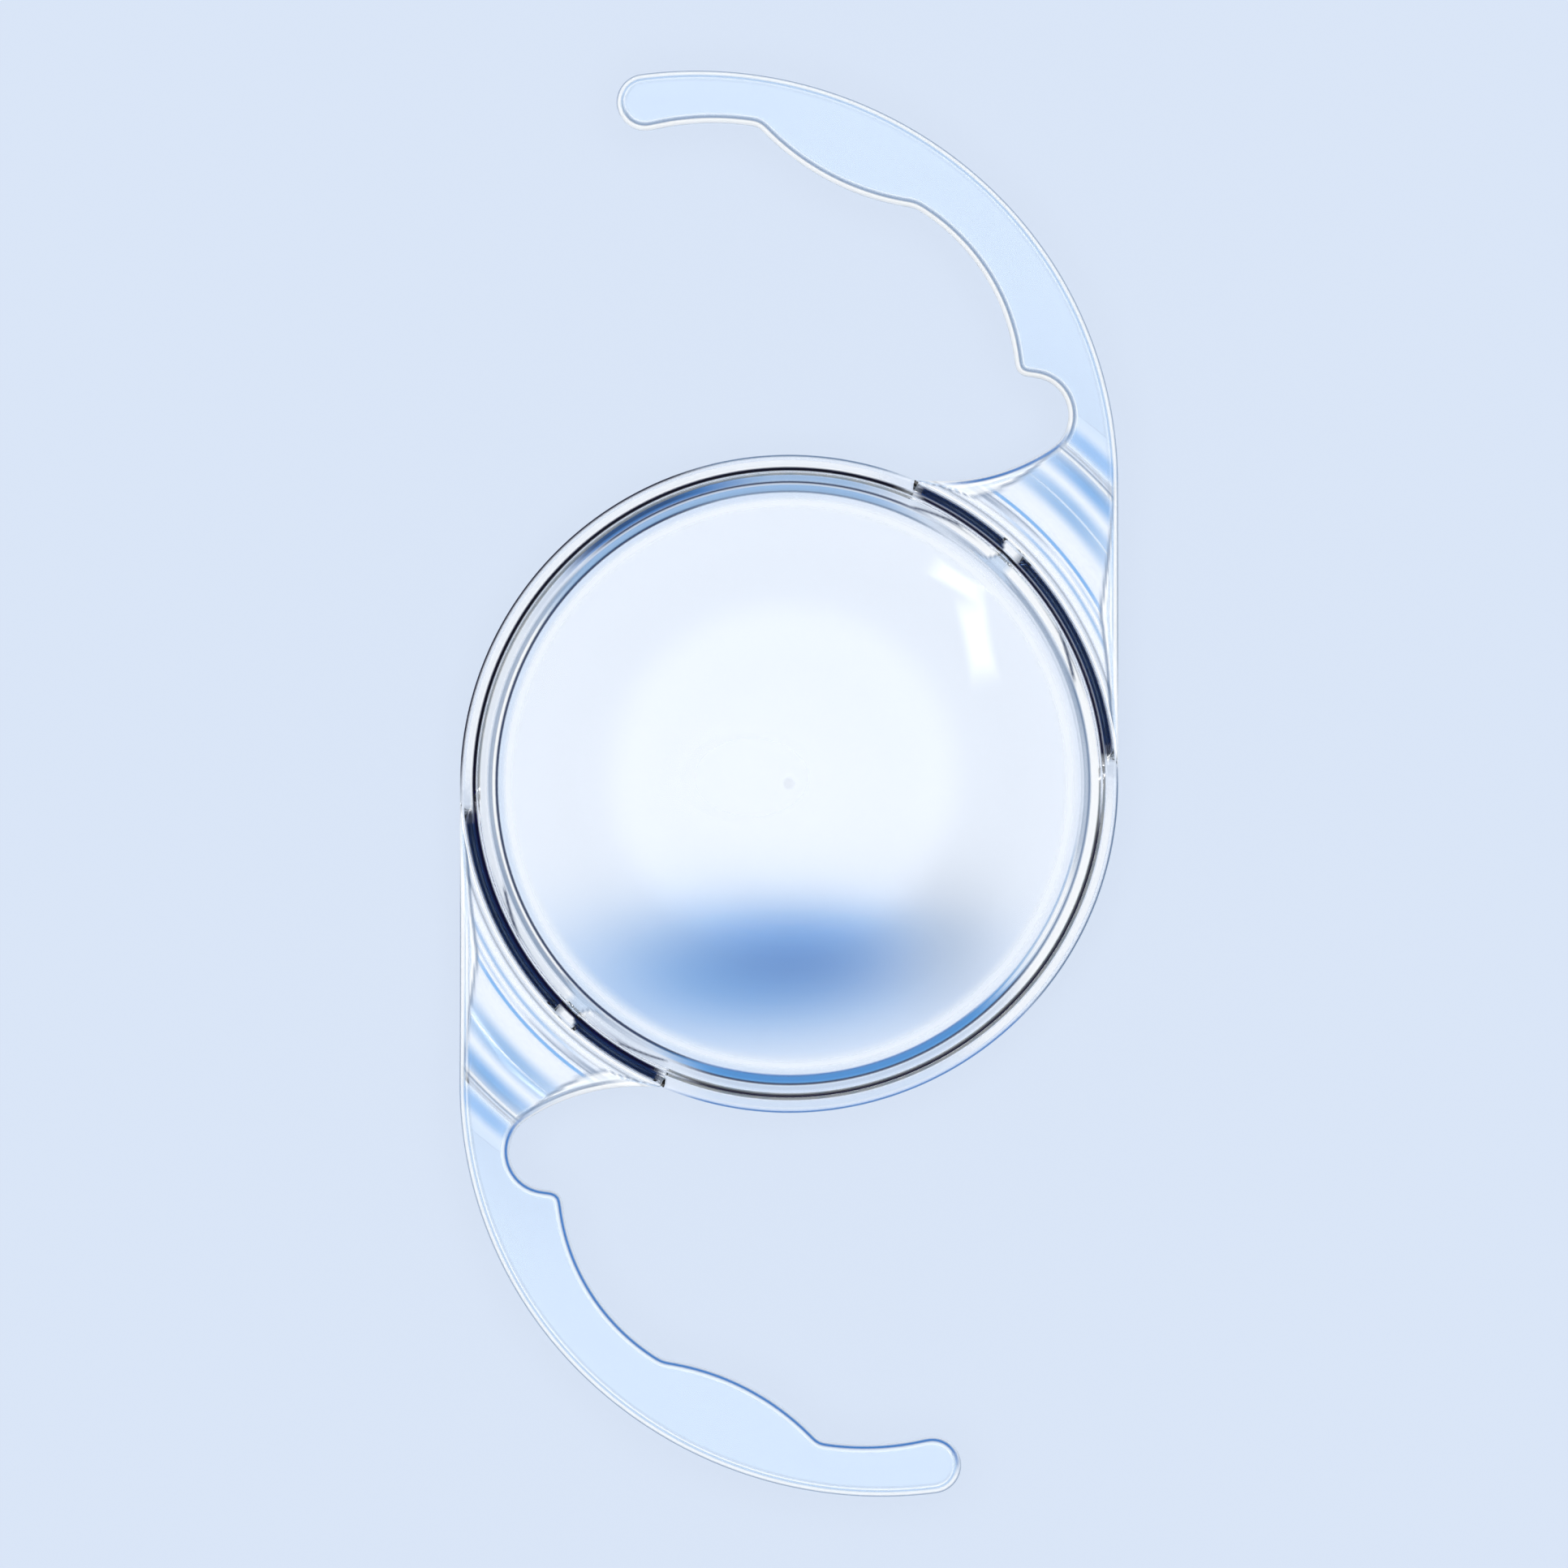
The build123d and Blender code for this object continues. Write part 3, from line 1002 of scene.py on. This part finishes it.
def haptic_painted_light(turn):
    """Painted light of a haptic's front: plate, turned lines, facets, then bands on both sides.
    """
    reach = np.linalg.norm(haptic_plan, axis=-1)
    on_plate = smooth_step(reach, crease_outer, crease_outer + plate_fade)
    tint_and_painted_light = painted(even(haptic_plan, "clear"), "pale blue", plate_tint * on_plate)
    tint_and_painted_light = painted(tint_and_painted_light, "milky", plate_painted_white * on_plate)
    tint_and_painted_light = faceted(lined(tint_and_painted_light, haptic_plan * turn), haptic_plan, from_outer, from_inner)
    nearer_outer = from_outer < from_inner
    facing = np.where(
        nearer_outer,
        towards_window(outer_side, outer_place, -turn),
        towards_window(inner_side, inner_place, turn),
    )
    as_outer = edged(tint_and_painted_light, haptic_distance, facing, outer_bands)
    as_inner = edged(tint_and_painted_light, haptic_distance, facing, inner_bands)
    edge = as_outer + (as_inner - as_outer) * inner_share(nearer_outer)[..., None]
    past_root = smooth_step(reach, optic_radius, optic_radius + band_fade)
    return tint_and_painted_light + (edge - tint_and_painted_light) * past_root[..., None]


# %% Painted light of the optic
# Patches of painted light: a white sheen on the dome, a highlight at its centre, then blue and
# grey low down for the surroundings seen through it
painted_light_patches = [
    (0.00, 0.00, 9.00, 9.00, "milky", 0.16),
    (-0.35, 0.05, 1.30, 0.90, "milky", 0.14),
    (0.00, 0.00, 0.05, 0.05, "milky", 0.22),
    (-0.42, -1.78, 1.75, 0.64, "azure", 0.90),
    (0.20, -1.38, 1.10, 0.26, "azure", 0.50),
    (0.04, -1.62, 1.10, 0.40, "deep blue", 0.80),
    (1.45, -1.40, 0.50, 0.65, "grey", 0.28),
]
patch_inner, patch_outer = 2.45, 2.62


def optic_painted_light(plan):
    """Painted light of the optic's front: clear, with soft painted patches, then the rim's lines.
    """
    tint_and_painted_light = even(plan, "clear")
    on_dome = 1 - smooth_step(np.linalg.norm(plan, axis=-1), patch_inner, patch_outer)
    for x, y, width, height, painted_colour, strength in painted_light_patches:
        light_patch = bell(plan[..., 0], x, width) * bell(plan[..., 1], y, height)
        tint_and_painted_light = painted(tint_and_painted_light, painted_colour, strength * light_patch * on_dome)
    return lined(tint_and_painted_light, plan)


print("clouds:", len(painted_light_patches))


# %% All the sheets
def turned(sheet, turn):
    """The sheet as it is where turn is 1, and half round the axis where it is -1."""
    return sheet * np.array([turn, turn, 1])


# The backs stay clear, and the walls get a painted pale blue for light running along inside
sheets = [(optic_front, optic_painted_light(front_plan)), (optic_back, even(optic_back, "clear"))]
for turn in (1, -1):
    sheets.append((turned(haptic_front, turn), haptic_painted_light(turn)))
    sheets.append((turned(haptic_back, turn), even(haptic_back, "clear")))
    sheets += [(turned(sheet, turn), even(sheet, "pale blue")) for sheet in half_walls]
print("sheets:", len(sheets), "points:", sum(sheet[..., 0].size for sheet, _ in sheets))

# %% [markdown]
# ## One closed mesh
#
# Each surface becomes a sheet of quads. The sheets meet at points with the same place, so
# merging doubles closes the shell and the poles, and the faces are then turned outwards.
# They could stay separate objects, but light is bent rightly only by a closed solid.


# %% Sheets into one mesh
def quads(rows, columns, first, closed):
    """Corner numbers of the quads of a grid that is numbered row by row.

    Where the grid is closed, its first column is joined on again after its last.
    """
    corner = first + np.arange(rows * columns).reshape(rows, columns)
    if closed:
        corner = np.concatenate([corner, corner[:, :1]], axis=1)
    sides = [corner[:-1, :-1], corner[:-1, 1:], corner[1:, 1:], corner[1:, :-1]]
    return np.stack(sides, axis=-1).reshape(-1, 4)


def closed_mesh(name, sheets, merge=2e-7):
    """Mesh of all the sheets with their shared points merged and its faces turned outwards."""
    points = np.concatenate([sheet.reshape(-1, 3) for sheet, _ in sheets]) * MM
    tint_and_painted_light = np.concatenate([tint_and_painted_light.reshape(-1, 4) for _, tint_and_painted_light in sheets])
    faces, first = [], 0
    for sheet, _ in sheets:
        faces.append(quads(*sheet.shape[:2], first, closed=sheet.shape[1] == len(spokes)))
        first += sheet[..., 0].size
    mesh = bpy.data.meshes.new(name)
    mesh.from_pydata(points.tolist(), [], np.concatenate(faces).tolist())
    # The shader takes the colour's square root at a face that light crosses, so it is squared
    colour = np.column_stack([tint_and_painted_light[:, :3] ** 2, np.ones(len(tint_and_painted_light))])
    mesh.attributes.new("painted_colour", "FLOAT_COLOR", "POINT").data.foreach_set("color", colour.ravel())
    mesh.attributes.new("clarity", "FLOAT", "POINT").data.foreach_set("value", tint_and_painted_light[:, 3])
    work = bmesh.new()
    work.from_mesh(mesh)
    bmesh.ops.remove_doubles(work, verts=work.verts, dist=merge)
    bmesh.ops.dissolve_degenerate(work, edges=work.edges, dist=merge / 10)
    bmesh.ops.recalc_face_normals(work, faces=work.faces)
    open_edges = sum(not edge.is_manifold for edge in work.edges)
    volume = work.calc_volume(signed=True) / MM**3
    print(name, "faces:", len(work.faces), "open edges:", open_edges)
    print("volume:", round(volume, 3), "mm3")
    work.to_mesh(mesh)
    work.free()
    mesh.polygons.foreach_set("use_smooth", np.ones(len(mesh.polygons), bool))
    return mesh


lens = bpy.data.objects.new("clear_lens", closed_mesh("clear_lens", sheets))
bpy.context.scene.collection.objects.link(lens)
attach(lens, "root")
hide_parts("lens")

# %% [markdown]
# ## Clear acrylic
#
# The acrylic is polished all over and bends light about as much as glass does. A Glass
# shader would do for the clear parts, but the Principled shader can also turn white from
# point to point, which the painted highlights need. Base Color takes the painted colour of
# each point, and Transmission Weight takes its clarity, so where the clarity falls the
# surface scatters light as white plastic does.

# %% Acrylic
refractive_index = 1.47
acrylic = bpy.data.materials.new("clear_acrylic")
acrylic.use_nodes = True
shader = acrylic.node_tree.nodes["Principled BSDF"]
shader.inputs["Roughness"].default_value = 0.0
shader.inputs["IOR"].default_value = refractive_index
for name, output, socket in (
    ("painted_colour", "Color", "Base Color"),
    ("clarity", "Fac", "Transmission Weight"),
):
    read = acrylic.node_tree.nodes.new("ShaderNodeAttribute")
    read.attribute_name = name
    acrylic.node_tree.links.new(read.outputs[output], shader.inputs[socket])
lens.data.materials.append(acrylic)
print("refractive index:", refractive_index)

# %% [markdown]
# ## Table
#
# A clear lens shows what it lies on, so the table is plain and pale. Glass in front of a
# lamp darkens the table below it more than the eye expects, so part of the table's colour
# is its own glow, seen by the camera, in reflections and through the lens. The other part
# is lit as usual, and keeps the soft shadow. A table that only glows would show no shadow.

# %% Table
table_reach = 0.6
table_level = -0.004 * MM
table_colour = (0.695, 0.782, 0.925, 1)
glow_share = 0.88


def joined(tree, operation, *values):
    """A Math node with this operation; each value is a number or another node's output."""
    node = tree.nodes.new("ShaderNodeMath")
    node.operation = operation
    for socket, value in zip(node.inputs, values):
        if isinstance(value, (int, float)):
            socket.default_value = value
        else:
            tree.links.new(value, socket)
    return node.outputs[0]


corners = [(x * table_reach, y * table_reach) for x, y in ((-1, -1), (1, -1), (1, 1), (-1, 1))]
table_mesh = bpy.data.meshes.new("table")
table_mesh.from_pydata([(*corner, table_level) for corner in corners], [], [(0, 1, 2, 3)])
table = bpy.data.objects.new("table", table_mesh)
bpy.context.scene.collection.objects.link(table)

paint = bpy.data.materials.new("table_paint")
paint.use_nodes = True
tree = paint.node_tree
tree.nodes.remove(tree.nodes["Principled BSDF"])
lit = tree.nodes.new("ShaderNodeBsdfDiffuse")
glow = tree.nodes.new("ShaderNodeEmission")
for part in (lit, glow):
    part.inputs["Color"].default_value = table_colour
rays = tree.nodes.new("ShaderNodeLightPath")
seen = joined(tree, "MAXIMUM", rays.outputs["Is Camera Ray"], rays.outputs["Is Glossy Ray"])
seen = joined(tree, "MAXIMUM", seen, rays.outputs["Is Transmission Ray"])
blend = tree.nodes.new("ShaderNodeMixShader")
tree.links.new(joined(tree, "MULTIPLY", seen, glow_share), blend.inputs[0])
tree.links.new(lit.outputs[0], blend.inputs[1])
tree.links.new(glow.outputs[0], blend.inputs[2])
tree.links.new(blend.outputs[0], tree.nodes["Material Output"].inputs["Surface"])
table_mesh.materials.append(paint)
print("table:", 2 * table_reach, "m wide, glowing with a share of", glow_share)

# %% [markdown]
# ## Light
#
# The light is a tent of white cloth with a round soft box at its top. The soft box lies
# where the domes mirror it, so the optic is a little brighter than the table. Area lamps
# could stand for both, but a sky lights every spot of the table alike, with less noise.
# It is a ramp over the height of the direction that light comes from, and its whole light
# on the table is kept near that of an even white sky of strength 1.

# %% Sky
sky_peak = 4.0
tent_colour, box_colour = np.array([0.86, 0.93, 1.0]), np.array([1.0, 0.995, 0.985])
# Height of the direction as its sine, brightness, and the share of the soft box's colour
sky_steps = np.array([
    (0.0000, 0.74, 0.0),
    (0.1800, 0.64, 0.0),
    (0.4000, 0.36, 0.0),
    (0.8000, 0.38, 0.2),
    (0.8650, 0.90, 0.6),
    (0.9050, 3.70, 1.0),
    (0.9250, 3.70, 1.0),
    (0.9500, 3.10, 1.0),
])

world = bpy.context.scene.world or bpy.data.worlds.new("studio")
bpy.context.scene.world = world
world.use_nodes = True
sky = world.node_tree
background = sky.nodes["Background"]
direction = sky.nodes.new("ShaderNodeTexCoord").outputs["Generated"]
height = sky.nodes.new("ShaderNodeSeparateXYZ")
ramp = sky.nodes.new("ShaderNodeValToRGB")
sky.links.new(direction, height.inputs[0])
sky.links.new(height.outputs["Z"], ramp.inputs["Fac"])
sky.links.new(ramp.outputs["Color"], background.inputs["Color"])
for number, (sine, brightness, white) in enumerate(sky_steps):
    stops = ramp.color_ramp.elements
    stop = stops[number] if number < 2 else stops.new(sine)
    stop.position = sine
    colour = between(tent_colour, box_colour, white) * brightness / sky_peak
    stop.color = (*colour, 1)
sines = np.linspace(0, 1, 2001)
level = np.mean(2 * sines * np.interp(sines, sky_steps[:, 0], sky_steps[:, 1]))
print("sky's light on the table, as an even sky's strength:", round(level, 3))

# %% [markdown]
# ## Window and card
#
# A window of two soft panes gives the highlight on the dome. A photographer also hangs a
# small dark card where flat faces would mirror bright sky to the camera, and the fine dark
# lines on them stay dark. Both could be meshes in the scene, but then they would show
# through the lens and throw shadows. As patches of the sky they can be kept to reflected
# rays: each is a mask over the direction, and both are added to the sky's strength.

# %% Panes
pane_brightness = 2.4
pane_edge, pane_inside = 1.70, 0.20
# Middle of each pane across the sky, half its width and length, and its turn in degrees
window_panes = [
    ((0.2540, 0.2190), (0.015, 0.045), 12),
    ((0.2240, 0.3020), (0.010, 0.032), 58),
]


def smooth_between(value, low, high):
    """A Map Range node: 0 at low and 1 at high, with a smooth start and end."""
    node = sky.nodes.new("ShaderNodeMapRange")
    node.interpolation_type = "SMOOTHSTEP"
    sky.links.new(value, node.inputs["Value"])
    node.inputs["From Min"].default_value = low
    node.inputs["From Max"].default_value = high
    return node.outputs["Result"]


window = 0.0
for (x, y), (half_width, pane_half_length), pane_turn in window_panes:
    fit = sky.nodes.new("ShaderNodeMapping")
    fit.vector_type = "TEXTURE"
    fit.inputs["Location"].default_value = (x, y, 0)
    fit.inputs["Rotation"].default_value = (0, 0, np.radians(pane_turn))
    fit.inputs["Scale"].default_value = (half_width, pane_half_length, 1)
    sky.links.new(direction, fit.inputs["Vector"])
    sides = sky.nodes.new("ShaderNodeSeparateXYZ")
    sky.links.new(fit.outputs[0], sides.inputs[0])
    off = joined(sky, "MAXIMUM", *(joined(sky, "ABSOLUTE", sides.outputs[way]) for way in "XY"))
    pane = smooth_between(off, pane_edge, pane_inside)
    window = joined(sky, "MULTIPLY_ADD", pane, pane_brightness * sky_peak, window)
print("window panes:", len(window_panes))

# %% Card
# The camera leans off the vertical by this much, and the card hangs as far off on the other
# side, which is the direction that a flat face mirrors to the camera
camera_lean = np.radians(1.2)
camera_way = np.array([0.7, -0.7]) * np.sin(camera_lean)
card_edge, card_inside = 0.0105, 0.0062
card_brightness = 0.15

off_card = sky.nodes.new("ShaderNodeVectorMath")
off_card.operation = "DISTANCE"
off_card.inputs[1].default_value = (*-camera_way, np.cos(camera_lean))
sky.links.new(direction, off_card.inputs[0])
card_change = (card_brightness / sky_steps[-1, 1] - 1) * sky_peak
card = smooth_between(off_card.outputs["Value"], card_edge, card_inside)
card = joined(sky, "MULTIPLY", card, card_change)
mirrored = sky.nodes.new("ShaderNodeLightPath").outputs["Is Reflection Ray"]
both = joined(sky, "ADD", window, card)
sky_strength = joined(sky, "MULTIPLY_ADD", both, mirrored, sky_peak)
sky.links.new(sky_strength, background.inputs["Strength"])
print("card's change to the sky's strength:", round(card_change, 3))

# %% [markdown]
# ## Camera
#
# The photograph looks almost straight down, and the sides of the lens don't show, so the
# camera stands far off: half a metre for a lens of 13 mm. An orthographic camera would look
# much the same, but a photograph has a perspective, however slight. The focal length follows
# from how many pixels of the picture cover a millimetre, and the camera's own axes from the
# way it looks, with y upwards in the picture.

# %% Camera
image_width = 1932
pixels_per_mm = 135.17
camera_height = 500.0
sensor_width = 36.0
aim = Vector((-0.048, 0, 0.4)) * MM
camera_data = bpy.data.cameras.new("camera")
camera = bpy.data.objects.new("camera", camera_data)
bpy.context.scene.collection.objects.link(camera)
bpy.context.scene.camera = camera
camera_data.sensor_width = sensor_width
camera_data.lens = sensor_width * camera_height / (image_width / pixels_per_mm)
camera_data.clip_start = 0.001
camera_data.clip_end = 2.0
camera.location = aim + Vector((*camera_way, np.cos(camera_lean))) * camera_height * MM
forward = (aim - camera.location).normalized()
right = forward.cross(Vector((0, 1, 0))).normalized()
up = right.cross(forward)
camera.rotation_euler = Matrix((right, up, -forward)).transposed().to_euler()
bpy.context.scene.view_settings.view_transform = "Standard"
print("focal length:", round(camera_data.lens, 1), "mm on a sensor of", sensor_width, "mm")
